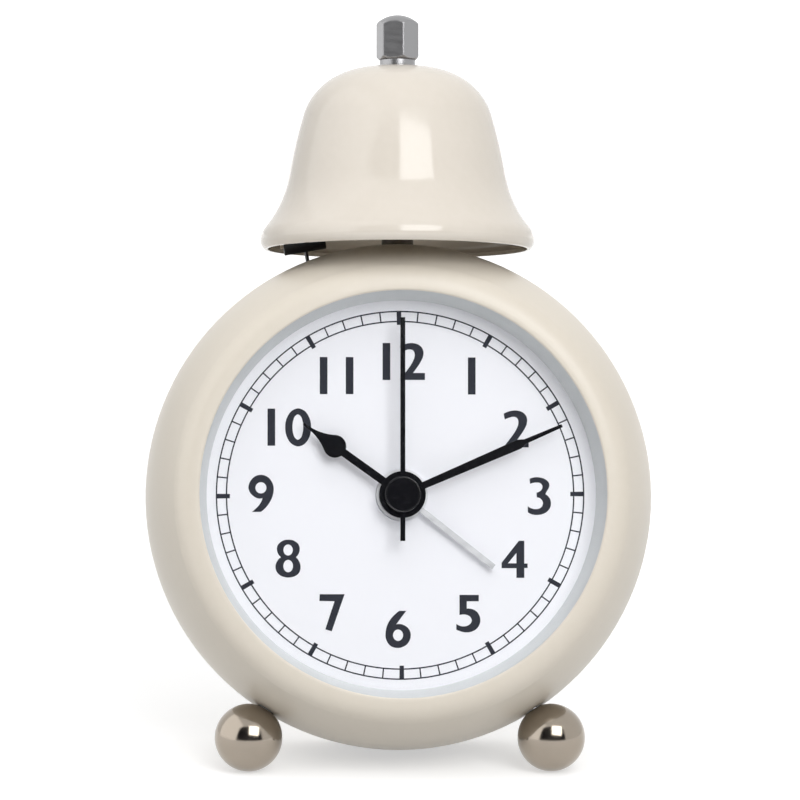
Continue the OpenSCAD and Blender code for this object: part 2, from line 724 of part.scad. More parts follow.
// Sub-part: bent plate on top of the movement that holds the pin and the magnet
module hammer_bracket() color("#b9bcc0") stand() difference() {
  union() {
    translate([yoke_x - yoke_t, bell_y - 5, box_top]) cube([pivot[0] + 3 - yoke_x + yoke_t, 10, yoke_t]);
    translate([yoke_x - yoke_t, bell_y - 3.5, box_top]) cube([yoke_t, 7, yoke_top - box_top]);
    for (y = [-5, 4.2]) translate([pivot[0] - 2.6, bell_y + y, box_top]) cube([5.6, 0.8, 7]);
  }
  translate([pivot[0], 0, pivot[1]]) rod(0.8, bell_y - 8, bell_y + 8);
  translate([yoke_x - 2, bell_y, coil_h]) rotate([0, 90, 0]) cylinder(r = 1, h = 3);
  for (x = bracket_screw_x) translate([x, bracket_screw_y, box_top - 1]) cylinder(r = 0.9, h = 3);
}

module bracket_screws() color("#c3c5c8") stand() for (x = bracket_screw_x)
  translate([x, bracket_screw_y, box_top + yoke_t]) {
    translate([0, 0, -3]) cylinder(r = 0.8, h = 3);
    cylinder(r = 1.3, h = 0.9);
  }

module magnet_coil() color("#b5652d") stand() difference() {
  translate([coil_out, bell_y, coil_h]) rotate([0, 90, 0]) cylinder(r = 3.4, h = coil_in - coil_out);
  translate([coil_out - 1, bell_y, coil_h]) rotate([0, 90, 0]) cylinder(r = 1.6, h = 20);
}

module magnet_core() color("#9a9da1") stand() {
  translate([yoke_x, bell_y, coil_h]) rotate([0, 90, 0]) cylinder(r = 1.6, h = coil_in + 0.4 - yoke_x);
  translate([yoke_x - 1.4, bell_y, coil_h]) rotate([0, 90, 0]) cylinder(r = 1, h = 2);
}

module hammer_pin() color("#c3c5c8") stand() translate([pivot[0], 0, pivot[1]])
  rod(0.8, bell_y - 5.3, bell_y + 5.3);

// Sub-part: iron lever that the magnet pulls, turning on the pin
module hammer_lever() color("#9a9da1") stand() hammer_frame() difference() {
  union() {
    rod(1.6, -lever_w / 2, lever_w / 2);
    translate([-0.7, -lever_w / 2, 0]) cube([1.4, lever_w, lever_h]);
  }
  rod(0.8 + run_fit, -10, 10);
  translate([0, 0, lever_h - 3]) cylinder(r = wire_r, h = 5);
}

module hammer_wire() color("#6d7074") stand() hammer_frame()
  translate([0, 0, lever_h - 3]) cylinder(r = wire_r, h = head_h + 1.2 - lever_h + 3);

module hammer_head() color("#141416") stand() hammer_frame() difference() {
  translate([-head_l / 2 - 0.1, 0, head_h]) rotate([0, 90, 0]) cylinder(r = head_r, h = head_l);
  translate([0, 0, head_h - 6]) cylinder(r = wire_r, h = 7.2);
  translate([-head_l / 2 - 1.1, 0, head_h]) rotate([0, 90, 0]) cylinder(r = 0.9, h = 2);
}

// Sub-part: metal tip at the end of the hammer that meets the bell
module hammer_tip() color("#d7cfc4") stand() hammer_frame()
  translate([-head_l / 2 - 0.6, 0, head_h]) rotate([0, 90, 0]) cylinder(r = 0.9, h = 1.5);

// Bell

function arc_point(a, turn, inset) =
  let (r = a[2] - inset / bell_k) bell_k * [a[0] + r * cos(turn), a[1] + r * sin(turn)];

// Sub-part: bell outline from the axis outwards: chords between the arcs' ends, then the arcs
module bell_half(inset) {
  rim = arc_point(rim_arc, rim_arc[3], inset);
  ends = [for (a = BELL_ARCS) arc_point(a, a[4], inset)];
  difference() {
    polygon(concat([[0, -inset], [rim[0], -inset]], inset > 0 ? [rim] : [], ends,
      [[0, ends[len(ends) - 1][1]]]));
    translate(bell_k * [flare_arc[0], flare_arc[1]]) circle(r = inset - bell_k * flare_arc[2]);
  }
  for (a = BELL_ARCS) if (a[2] > 0) intersection() {
    translate(bell_k * [a[0], a[1]]) circle(r = bell_k * a[2] - inset);
    let (deep = min(inset + 3, 0.9 * bell_k * a[2]))
      polygon([arc_point(a, a[3], deep), arc_point(a, a[3], inset - 2),
        arc_point(a, a[4], inset - 2), arc_point(a, a[4], deep)]);
  }
}

module bell() color("#e4ddd0") stand() translate([0, bell_y, bell_z]) difference() {
  rotate_extrude() difference() {
    bell_half(0);
    bell_half(bell_t);
  }
  cylinder(r = stud_r + loose_fit, h = 100);
}

// Sub-part: turned post, threaded at both ends
module bell_post() color("#8b8a86") stand() translate([0, bell_y, 0]) {
  translate([0, 0, case_r]) cylinder(r = post_d / 2, h = crown_in - case_r);
  translate([0, 0, case_r - 6]) cylinder(r = stud_r, h = nut_z + 4 - case_r + 6);
}

module bell_washer() color("#b4b5b6") stand() translate([0, bell_y, bell_top]) difference() {
  cylinder(r = nut_af / 2 - 0.15, h = collar_t);
  translate([0, 0, -1]) cylinder(r = stud_r + 0.1, h = 4);
}

module bell_nut() color("#b4b5b6") stand() translate([0, bell_y, nut_z]) rotate([0, 0, -16]) {
  corner = nut_af / 2 / cos(30);
  hex_h = nut_h - dome_h;
  dome_base = nut_af / 2 + 0.15;
  dome_r = (pow(dome_base, 2) + pow(dome_h, 2)) / (2 * dome_h);
  difference() {
    intersection() {
      cylinder(r = corner, h = nut_h + 1, $fn = 6);
      union() {
        rotate_extrude() polygon([
          [0, 0], [nut_af / 2, 0], [corner, 0.5], [corner, hex_h - 0.4], [dome_base, hex_h], [0, hex_h]
        ]);
        intersection() {
          translate([0, 0, nut_h - dome_r]) sphere(r = dome_r);
          translate([0, 0, hex_h - 0.5]) cylinder(r = dome_base, h = dome_h + 1);
        }
      }
    }
    translate([0, 0, -1]) cylinder(r = stud_r, h = 5.5);
  }
}

module post_washer() color("#c3c5c8") stand() translate([0, bell_y, washer_top - 0.8]) difference() {
  cylinder(r = washer_r, h = 0.8);
  translate([0, 0, -1]) cylinder(r = stud_r + 0.1, h = 3);
}

module post_nut() color("#c3c5c8") stand() translate([0, bell_y, washer_top - 3.4]) difference() {
  cylinder(r = 3.9, h = 2.6, $fn = 6);
  translate([0, 0, -1]) cylinder(r = stud_r, h = 5);
}

// Feet

// Frame with its origin at the middle of the shoulder's round and -Z out through the foot
module foot_frame(side) {
  rotate([0, -side * foot_angle, 0]) translate([0, belt_y, -c_shoulder[0]]) rotate([-foot_tilt, 0, 0])
    children();
}

module ball_foot() difference() {
  translate([0, 0, -foot_out]) sphere(r = foot_r);
  translate([-20, -20, -shoulder_r]) cube([40, 40, 20]);
  translate([0, 0, -shoulder_r - 6.5]) cylinder(r = foot_screw_r, h = 10);
}

module left_foot() color("#c9cacb") stand() foot_frame(-1) ball_foot();

module right_foot() color("#c9cacb") stand() foot_frame(1) ball_foot();

module foot_screws() color("#c3c5c8") stand() for (side = [-1, 1]) foot_frame(side) {
  translate([0, 0, -shoulder_r - 6]) cylinder(r = foot_screw_r, h = shoulder_r + 7 - foot_head_z);
  translate([0, 0, -foot_head_z]) cylinder(r = foot_head_r, h = 1.6);
}

case_shell();
cover_brackets();
lens();
dial_ring();
dial();
alarm_hand();
hour_hand();
minute_hand();
second_hand();
movement_front();
movement_rear();
movement_screws();
second_arbor();
cannon_pinion();
centre_wheel();
third_wheel();
step_wheel();
rotor();
stator();
drive_coil();
hour_wheel();
alarm_wheel();
setting_wheel();
time_knob();
alarm_arbor();
alarm_knob();
circuit_board();
clock_chip();
quartz_crystal();
battery();
positive_contact();
negative_spring();
rear_cover();
cover_screws();
battery_door();
switch_body();
alarm_switch();
hammer_bracket();
bracket_screws();
magnet_coil();
magnet_core();
hammer_pin();
hammer_lever();
hammer_wire();
hammer_head();
hammer_tip();
bell();
bell_post();
bell_washer();
bell_nut();
post_washer();
post_nut();
left_foot();
right_foot();
foot_screws();
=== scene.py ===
"""Bell alarm clock: the finishes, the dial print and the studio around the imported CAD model."""
import math

import bmesh
import bpy
from mathutils import Matrix, Vector
from mathutils.geometry import tessellate_polygon


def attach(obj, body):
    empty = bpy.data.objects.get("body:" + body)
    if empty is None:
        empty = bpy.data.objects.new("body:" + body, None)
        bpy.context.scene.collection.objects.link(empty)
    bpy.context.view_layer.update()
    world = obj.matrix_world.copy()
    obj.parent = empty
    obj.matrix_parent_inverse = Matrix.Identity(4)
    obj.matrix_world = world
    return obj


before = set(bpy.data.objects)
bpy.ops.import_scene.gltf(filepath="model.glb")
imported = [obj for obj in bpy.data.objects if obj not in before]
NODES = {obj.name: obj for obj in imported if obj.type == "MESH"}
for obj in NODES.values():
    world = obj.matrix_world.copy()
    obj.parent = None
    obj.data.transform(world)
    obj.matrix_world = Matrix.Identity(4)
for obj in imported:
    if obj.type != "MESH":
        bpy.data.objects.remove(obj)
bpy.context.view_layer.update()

MM = 0.001

# The clock leans back on its feet: same lean and stand as the part's source, in mm
LEAN = math.radians(11.85705)
STAND_Y = -22.77325
STAND_Z = 50.32483
CLOCK = Matrix.Translation((0, STAND_Y * MM, STAND_Z * MM)) @ Matrix.Rotation(-LEAN, 4, "X")


def clock_point(x, y, z):
    """A point given in the clock's own upright frame in mm, as it stands in the scene."""
    return CLOCK @ (Vector((x, y, z)) * MM)


# ---------------------------------------------------------------- camera

CAMERA_SPOT = Vector((-60.76, -1091.73, 238.46)) * MM
CAMERA_AIM = Vector((-0.30, -12.61, 65.32)) * MM
CAMERA_ROLL = math.radians(0.652)
CAMERA_LENS = 279.16
CAMERA_SENSOR = 36
CAMERA_REACH = 50


def place_camera():
    """A long lens a little left of the clock and above it, as in the photograph."""
    data = bpy.data.cameras.new("photo_camera")
    data.lens = CAMERA_LENS
    data.sensor_width = CAMERA_SENSOR
    data.clip_end = CAMERA_REACH
    camera = bpy.data.objects.new("photo_camera", data)
    bpy.context.scene.collection.objects.link(camera)
    ahead = (CAMERA_AIM - CAMERA_SPOT).normalized()
    level = ahead.cross(Vector((0, 0, 1))).normalized()
    upright = level.cross(ahead)
    across = level * math.cos(CAMERA_ROLL) + upright * math.sin(CAMERA_ROLL)
    above = upright * math.cos(CAMERA_ROLL) - level * math.sin(CAMERA_ROLL)
    turn = Matrix((across, above, -ahead)).transposed().to_4x4()
    camera.matrix_world = Matrix.Translation(CAMERA_SPOT) @ turn
    bpy.context.scene.camera = camera


place_camera()

# ---------------------------------------------------------------- nodes and colours


def linear(code):
    """An sRGB hex colour as linear RGBA."""
    parts = [int(code[i:i + 2], 16) / 255 for i in (1, 3, 5)]
    return tuple(c / 12.92 if c <= 0.04045 else ((c + 0.055) / 1.055) ** 2.4 for c in parts) + (1,)


def add(tree, kind, settings, inputs):
    """A node with its settings; an input takes a value, or a socket to link from."""
    made = tree.nodes.new(kind)
    for name, value in settings.items():
        setattr(made, name, value)
    for name, value in inputs.items():
        if isinstance(value, bpy.types.NodeSocket):
            tree.links.new(value, made.inputs[name])
        else:
            made.inputs[name].default_value = value
    return made


def fresh_tree(owner):
    """The empty node tree of a material or of the world."""
    owner.use_nodes = True
    owner.node_tree.nodes.clear()
    return owner.node_tree


def per_mm(size):
    """Texture scale that gives a feature of this size in mm, because object space is in metres."""
    return 1000 / size


# Sockets of the colour Mix node, which has several of the same name
MIX_SHARE, MIX_FIRST, MIX_SECOND, MIX_RESULT = 0, 6, 7, 2

# The drifting noise of a finish, and the span in which most of its values lie
CLOUD = {"Detail": 3.0, "Roughness": 0.55}
CLOUD_LOW, CLOUD_HIGH = 0.3, 0.7
WORN_SAMPLES = 8


def grained(name, colours, grain, rough, relief=0.0, stretch=(1, 1, 1), worn=0.0, **sockets):
    """A material whose colour and roughness drift over grain mm, with relief mm of height in its surface.

    stretch draws the grain out along an axis, below 1 for longer streaks. worn is the radius in mm by which
    buffing seems to round the edges, in the shading only.
    """
    material = bpy.data.materials.new(name)
    tree = fresh_tree(material)
    place = add(tree, "ShaderNodeTexCoord", {}, {})
    drawn = add(tree, "ShaderNodeMapping", {}, {"Vector": place.outputs["Object"], "Scale": stretch})
    cloud = add(tree, "ShaderNodeTexNoise", {},
                {"Vector": drawn.outputs[0], "Scale": per_mm(grain), **CLOUD})
    tint = add(tree, "ShaderNodeMix", {"data_type": "RGBA"},
               {MIX_SHARE: cloud.outputs["Fac"],
                MIX_FIRST: linear(colours[0]), MIX_SECOND: linear(colours[1])})
    gloss = add(tree, "ShaderNodeMapRange", {},
                {"Value": cloud.outputs["Fac"], "From Min": CLOUD_LOW, "From Max": CLOUD_HIGH,
                 "To Min": rough[0], "To Max": rough[1]})
    made = {"Base Color": tint.outputs[MIX_RESULT], "Roughness": gloss.outputs[0]}
    if relief:
        bump = add(tree, "ShaderNodeBump", {}, {"Height": cloud.outputs["Fac"], "Distance": relief * MM})
        made["Normal"] = bump.outputs[0]
    if worn:
        edge = add(tree, "ShaderNodeBevel", {"samples": WORN_SAMPLES}, {"Radius": worn * MM})
        made["Normal"] = edge.outputs[0]
    made.update({socket.replace("_", " "): value for socket, value in sockets.items()})
    skin = add(tree, "ShaderNodeBsdfPrincipled", {}, made)
    add(tree, "ShaderNodeOutputMaterial", {}, {"Surface": skin.outputs[0]})
    return material


# ---------------------------------------------------------------- materials

# Sprayed and stoved enamel on the bell's pressed steel: a cream body under a glossy skin, with the faint
# waviness of paint that flowed before it set, about 1.6 mm from crest to crest
stoved_enamel = grained("stoved_cream_enamel", ("#ddd5c9", "#e1d9ce"), 1.6, (0.10, 0.14), 0.0012)

# The same enamel with a satin last coat, on the case: it spreads a lamp's mirror image over the lip to an
# even sheen
satin_enamel = grained("satin_cream_enamel", ("#dcd4c6", "#e0d8cb"), 1.6, (0.32, 0.38), 0.0012)

# Polished nickel plate on turned brass balls: a warm mirror with faint polishing haze
polished_nickel = grained("polished_nickel_plate", ("#9c9387", "#a49a8e"), 2.5, (0.13, 0.18), Metallic=1.0)

# Satin chrome on a turned and milled cap nut: cool grey, its streaks run round the nut and blur what it
# mirrors, and its buffed edges catch a bright line
satin_chrome = grained("satin_chrome_plate", ("#9b9b9d", "#9f9fa0"), 0.5, (0.30, 0.36), 0.0, (0.15, 0.15, 1),
                       worn=0.5, Metallic=1.0)

# Zinc-plated steel sheet and screws: bluish white metal, slightly cloudy from the bath
zinc_steel = grained("zinc_plated_steel", ("#b9bcc0", "#c9cbcd"), 1.2, (0.25, 0.38), 0.001, Metallic=1.0)

# Turned steel rod, oiled and dark: fine tool lines round the bar
turned_steel = grained("turned_dark_steel", ("#5a554e", "#6a655e"), 0.4, (0.28, 0.42), 0.001, (0.1, 0.1, 1),
                       Metallic=1.0)

# Soft iron stampings and the ferrite rotor: dull dark grey with a mill-scale mottle
soft_iron = grained("stamped_soft_iron", ("#686a6c", "#7c7d7f"), 0.9, (0.42, 0.55), 0.002, Metallic=1.0)

# Hard-drawn spring wire: dark bright wire, die lines along it
spring_wire = grained("drawn_spring_wire", ("#4c4c4e", "#5c5c5e"), 0.3, (0.25, 0.35), 0.0, (1, 1, 0.05),
                      Metallic=1.0)

# Turned tip of plain steel, warm and worn bright where it strikes
struck_tip = grained("turned_steel_tip", ("#cbc1b2", "#d8d0c4"), 0.5, (0.25, 0.4), 0.001, Metallic=1.0)

# Moulded hard rubber of the hammer: near black, matt, with a slight bloom
hard_rubber = grained("moulded_hard_rubber", ("#17171a", "#212124"), 0.8, (0.42, 0.55), 0.003)

# Injection-moulded polystyrene ring: glossy, a clean pale grey-white wall between lens and dial
white_styrene = grained("moulded_white_styrene", ("#d3d7d8", "#d9dcdd"), 2.0, (0.16, 0.24), 0.001)

# White lacquered dial plate: an even eggshell white, with the lacquer's faint tooth
dial_lacquer = grained("white_lacquered_dial", ("#f6f7fd", "#f9faff"), 0.6, (0.45, 0.55), 0.0008)

# Screen-printed ink: dense blue-black, slightly raised and much duller than the hands
dial_ink = grained("screen_printed_ink", ("#2b2d36", "#32343d"), 0.5, (0.45, 0.6), Specular_IOR_Level=0.15)

# Stamped hands in black lacquer: deep black with a soft shine
hand_lacquer = grained("stamped_black_lacquer", ("#0b0c10", "#0f1014"), 0.7, (0.12, 0.17), 0.0002,
                       Specular_IOR_Level=0.4)

# Brushed aluminium alarm hand: pale grey, brushed along its length
brushed_aluminium = grained("brushed_aluminium_hand", ("#bfc1c4", "#d0d2d4"), 0.3, (0.3, 0.42), 0.001,
                            (0.2, 1, 0.2), Metallic=1.0)

# Moulded polystyrene movement case: clean white, semi-matt, with faint flow marks
movement_styrene = grained("moulded_movement_styrene", ("#eceef1", "#f1f2f4"), 3.0, (0.38, 0.48), 0.002)

# Moulded acetal wheels: milky white and waxy
wheel_acetal = grained("moulded_acetal_wheel", ("#e6e4dc", "#ebe9e2"), 1.0, (0.32, 0.42), 0.001,
                       Subsurface_Weight=0.1, Subsurface_Scale=0.001)

# Cut brass wheels and pinions: yellow metal with a fine machined bloom
cut_brass = grained("cut_brass_wheel", ("#cfae6a", "#d8b878"), 0.4, (0.22, 0.34), 0.001, Metallic=1.0)

# Solder mask on a glass-epoxy board: glossy green with the weave of the cloth just showing
solder_mask = grained("green_solder_mask", ("#2b6a38", "#357a43"), 0.5, (0.25, 0.35), 0.002)

# Potting resin dropped over the chip: glossy black blob
potting_resin = grained("black_potting_resin", ("#0e0e10", "#161618"), 1.5, (0.18, 0.28), 0.003)

# Injection-moulded ABS of the back, door and knobs: cream to match the case, with a fine spark-eroded
# mould texture; the real grain of 0.15 mm is drawn at 0.45 mm so that it shows
spark_abs = grained("spark_textured_cream_abs", ("#ddd6ca", "#e2dcd1"), 0.45, (0.42, 0.52), 0.006)

# Moulded black ABS of the alarm switch: dark grey-black, semi-matt
switch_abs = grained("moulded_black_abs", ("#1c1c1e", "#252527"), 0.5, (0.38, 0.48), 0.003)

# The turns of a coil, in mm
COIL_PITCH = 0.9
WAVE_PERIOD = math.pi / 10  # Blender's wave texture at scale 1


def copper_winding_material():
    """Enamelled copper wire, layer wound: warm lacquered ridges side by side round the coil.

    The real wire is about 0.1 mm; the turns are drawn COIL_PITCH mm apart so that they show.
    """
    material = bpy.data.materials.new("wound_enamelled_copper")
    tree = fresh_tree(material)
    place = add(tree, "ShaderNodeTexCoord", {}, {})
    turns = add(tree, "ShaderNodeTexWave", {"wave_type": "BANDS", "bands_direction": "X"},
                {"Vector": place.outputs["Object"], "Scale": per_mm(COIL_PITCH) * WAVE_PERIOD,
                 "Distortion": 0.4})
    # The colour follows the height of the turns: painted shade, darker in the grooves between turns and
    # lighter on the crests
    tint = add(tree, "ShaderNodeMix", {"data_type": "RGBA"},
               {MIX_SHARE: turns.outputs["Fac"],
                MIX_FIRST: linear("#7a3a1a"), MIX_SECOND: linear("#c8783c")})
    bump = add(tree, "ShaderNodeBump", {}, {"Height": turns.outputs["Fac"], "Distance": 0.1 * MM})
    skin = add(tree, "ShaderNodeBsdfPrincipled", {},
               {"Base Color": tint.outputs[MIX_RESULT], "Normal": bump.outputs[0], "Metallic": 0.6,
                "Roughness": 0.35, "Coat Weight": 0.4})
    add(tree, "ShaderNodeOutputMaterial", {}, {"Surface": skin.outputs[0]})
    return material


# Along the cell in mm from the middle of the clock: where the band starts, and where the sleeve ends
CELL_BAND, CELL_END = 14, 24.1


def cell_sleeve_material():
    """Shrunk plastic sleeve of a plain AA cell: blue-black, a copper-coloured band, a steel button."""
    material = bpy.data.materials.new("shrunk_cell_sleeve")
    tree = fresh_tree(material)
    place = add(tree, "ShaderNodeTexCoord", {}, {})
    along = add(tree, "ShaderNodeSeparateXYZ", {}, {"Vector": place.outputs["Object"]})
    band = add(tree, "ShaderNodeMath", {"operation": "GREATER_THAN"},
               {0: along.outputs["X"], 1: CELL_BAND * MM})
    button = add(tree, "ShaderNodeMath", {"operation": "GREATER_THAN"},
                 {0: along.outputs["X"], 1: CELL_END * MM})
    cloud = add(tree, "ShaderNodeTexNoise", {}, {"Vector": place.outputs["Object"], "Scale": per_mm(3.0)})
    body = add(tree, "ShaderNodeMix", {"data_type": "RGBA"},
               {MIX_SHARE: cloud.outputs["Fac"], MIX_FIRST: linear("#23272f"), MIX_SECOND: linear("#2b303a")})
    two = add(tree, "ShaderNodeMix", {"data_type": "RGBA"},
              {MIX_SHARE: band.outputs[0],
               MIX_FIRST: body.outputs[MIX_RESULT], MIX_SECOND: linear("#b0703c")})
    tint = add(tree, "ShaderNodeMix", {"data_type": "RGBA"},
               {MIX_SHARE: button.outputs[0],
                MIX_FIRST: two.outputs[MIX_RESULT], MIX_SECOND: linear("#c4c6c8")})
    skin = add(tree, "ShaderNodeBsdfPrincipled", {},
               {"Base Color": tint.outputs[MIX_RESULT], "Metallic": button.outputs[0], "Roughness": 0.3})
    add(tree, "ShaderNodeOutputMaterial", {}, {"Surface": skin.outputs[0]})
    return material


def lens_material():
    """Clear flat acrylic: it mirrors a little of the room, more at a slant, and is otherwise seen through.

    Only the outer side mirrors: light isn't bent here, so the inner side would mirror all of a slanting ray.
    """
    material = bpy.data.materials.new("clear_flat_acrylic")
    tree = fresh_tree(material)
    slant = add(tree, "ShaderNodeFresnel", {}, {"IOR": 1.45})
    side = add(tree, "ShaderNodeNewGeometry", {}, {})
    outer = add(tree, "ShaderNodeMath", {"operation": "SUBTRACT"}, {0: 1.0, 1: side.outputs["Backfacing"]})
    mirrored = add(tree, "ShaderNodeMath", {"operation": "MULTIPLY"},
                   {0: slant.outputs[0], 1: outer.outputs[0]})
    through = add(tree, "ShaderNodeBsdfTransparent", {}, {"Color": linear("#ffffff")})
    shine = add(tree, "ShaderNodeBsdfGlossy", {}, {"Color": linear("#ffffff"), "Roughness": 0.02})
    both = add(tree, "ShaderNodeMixShader", {},
               {0: mirrored.outputs[0], 1: through.outputs[0], 2: shine.outputs[0]})
    add(tree, "ShaderNodeOutputMaterial", {}, {"Surface": both.outputs[0]})
    return material


FINISHES = {
    stoved_enamel: ["bell"],
    satin_enamel: ["case_shell"],
    polished_nickel: ["left_foot", "right_foot"],
    satin_chrome: ["bell_nut", "bell_washer"],
    zinc_steel: ["cover_brackets", "movement_screws", "cover_screws", "hammer_bracket", "bracket_screws",
                 "hammer_pin", "post_washer", "post_nut", "foot_screws", "quartz_crystal",
                 "positive_contact", "negative_spring"],
    turned_steel: ["bell_post"],
    soft_iron: ["stator", "magnet_core", "hammer_lever", "rotor"],
    spring_wire: ["hammer_wire"],
    struck_tip: ["hammer_tip"],
    hard_rubber: ["hammer_head"],
    lens_material(): ["lens"],
    white_styrene: ["dial_ring"],
    dial_lacquer: ["dial"],
    hand_lacquer: ["hour_hand", "minute_hand", "second_hand"],
    brushed_aluminium: ["alarm_hand"],
    movement_styrene: ["movement_front", "movement_rear"],
    wheel_acetal: ["hour_wheel", "alarm_wheel", "setting_wheel", "step_wheel", "alarm_arbor"],
    cut_brass: ["second_arbor", "cannon_pinion", "centre_wheel", "third_wheel"],
    copper_winding_material(): ["drive_coil", "magnet_coil"],
    solder_mask: ["circuit_board"],
    potting_resin: ["clock_chip"],
    cell_sleeve_material(): ["battery"],
    spark_abs: ["rear_cover", "battery_door", "time_knob", "alarm_knob"],
    switch_abs: ["switch_body", "alarm_switch"],
}
for finish, names in FINISHES.items():
    for name in names:
        NODES[name].data.materials.clear()
        NODES[name].data.materials.append(finish)

# ---------------------------------------------------------------- hands

# How far the stamping rounds the edges of each hand, in mm
HAND_EDGES = {"second_hand": 0.12, "minute_hand": 0.08, "hour_hand": 0.08}
EDGE_STEPS = 4
SHARP_ANGLE = math.radians(35)
WELD_GAP = 0.001


def soften_edges(name, width):
    """Rounds a hand's sharp edges by up to width mm, so that they catch the light under the lacquer."""
    weld = NODES[name].modifiers.new("weld", "WELD")
    weld.merge_threshold = WELD_GAP * MM
    rounding = NODES[name].modifiers.new("soft_edges", "BEVEL")
    rounding.width = width * MM
    rounding.segments = EDGE_STEPS
    rounding.limit_method = "ANGLE"
    rounding.angle_limit = SHARP_ANGLE
    rounding.harden_normals = True


for hand, width in HAND_EDGES.items():
    soften_edges(hand, width)

# The bead on the second hand's cap in mm: depth of the cap's face, then radius of the ring and of its section
CAP_FACE = 3.1
BEAD_RADIUS, BEAD_SECTION = 3.0, 0.17


def cap_bead():
    """The raised bead round the cap of the second hand, which catches a thin ring of light."""
    bpy.ops.mesh.primitive_torus_add(
        major_radius=BEAD_RADIUS * MM, minor_radius=BEAD_SECTION * MM, major_segments=72, minor_segments=12)
    bead = bpy.context.object
    bead.name = "cap_bead"
    upright = Matrix.Rotation(math.pi / 2, 4, "X")
    bead.data.transform(CLOCK @ Matrix.Translation((0, CAP_FACE * MM, 0)) @ upright)
    for face in bead.data.polygons:
        face.use_smooth = True
    bead.data.materials.append(hand_lacquer)
    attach(bead, "second_group")


cap_bead()

# ---------------------------------------------------------------- dial print

# In mm: the dial's face, the skin of ink standing proud of it and let into it, and the print's small
# offset to the left on its plate
DIAL_FACE = 7.4
INK_PROUD = 0.02
INK_FRONT, INK_BACK = DIAL_FACE - INK_PROUD, DIAL_FACE + INK_PROUD
PRINT_X = -0.21


def printed(name, verts, faces):
    """A closed skin of ink on the dial, riding with the clock."""
    mesh = bpy.data.meshes.new(name)
    mesh.from_pydata([clock_point(x + PRINT_X, y, z) for x, y, z in verts], [], faces)
    shape = bmesh.new()
    shape.from_mesh(mesh)
    bmesh.ops.delete(shape, geom=[v for v in shape.verts if not v.link_faces], context="VERTS")
    bmesh.ops.recalc_face_normals(shape, faces=shape.faces)
    shape.to_mesh(mesh)
    shape.free()
    mesh.materials.append(dial_ink)
    piece = bpy.data.objects.new(name, mesh)
    bpy.context.scene.collection.objects.link(piece)
    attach(piece, "clock_body")


# Minute track in mm: two circle lines with a tick each minute, turned a trifle on the dial. The radii are the
# inner end of an hour tick and the two edges of each circle line.
TRACK_RADII = (30.07, 30.55, 30.79, 32.32, 32.56)
TRACK_MID = 31.5
TRACK_TURN = math.radians(-0.44)
MINUTE_TICK, HOUR_TICK = 0.24, 0.80
GAP_STEPS = 3


def minute_track():
    """The track as one skin: a grid of radii and turns, filled where a circle line or a tick lies."""
    turns, ticks = [], []
    for minute in range(60):
        widths = [HOUR_TICK if m % 5 == 0 else MINUTE_TICK for m in (minute, (minute + 1) % 60)]
        halves = [width / 2 / TRACK_MID for width in widths]
        middle = math.radians(6 * minute) + TRACK_TURN
        start, end = middle + halves[0], middle + math.radians(6) - halves[1]
        turns.append(middle - halves[0])
        ticks.append("hour" if minute % 5 == 0 else "minute")
        for step in range(GAP_STEPS):
            turns.append(start + (end - start) * step / GAP_STEPS)
            ticks.append("")
    count, rings = len(turns), len(TRACK_RADII)
    verts = [(r * math.sin(a), y, r * math.cos(a))
             for y in (INK_FRONT, INK_BACK) for a in turns for r in TRACK_RADII]

    def corner(side, turn, ring):
        return (side * count + turn % count) * rings + ring

    def filled(turn, ring):
        tick = ticks[turn % count]
        return (tick == "hour", True, tick != "", True)[ring] if 0 <= ring < rings - 1 else False

    faces = []
    for t in range(count):
        for r in range(rings - 1):
            if not filled(t, r):
                continue
            ring_of = [(t, r), (t + 1, r), (t + 1, r + 1), (t, r + 1)]
            for side in (0, 1):
                faces.append([corner(side, *at) for at in ring_of])
            beyond = [(t, r - 1), (t + 1, r), (t, r + 1), (t - 1, r)]
            for k, (turn, ring) in enumerate(beyond):
                if not filled(turn, ring):
                    a, b = ring_of[k], ring_of[(k + 1) % 4]
                    faces.append([corner(0, *a), corner(0, *b), corner(1, *b), corner(1, *a)])
    printed("minute_track", verts, faces)


# Numerals: bold upright sans figures. Each figure is a list of outlines, an outer one and its holes.
# An outline is a list of runs that meet at corners, and a run is a smooth line through its points, on a
# grid where the figure is 100 high.
FIGURE_HEIGHT = 6.55
RUN_STEPS = 5


def oval(x, y, half_width, half_height):
    """One closed run round an ellipse."""
    turns = [math.radians(30 * k) for k in range(12)] + [0]
    return [[(x + half_width * math.cos(a), y + half_height * math.sin(a)) for a in turns]]


def corners(*points):
    """Straight runs from corner to corner and back to the first."""
    return [[a, b] for a, b in zip(points, points[1:] + points[:1])]


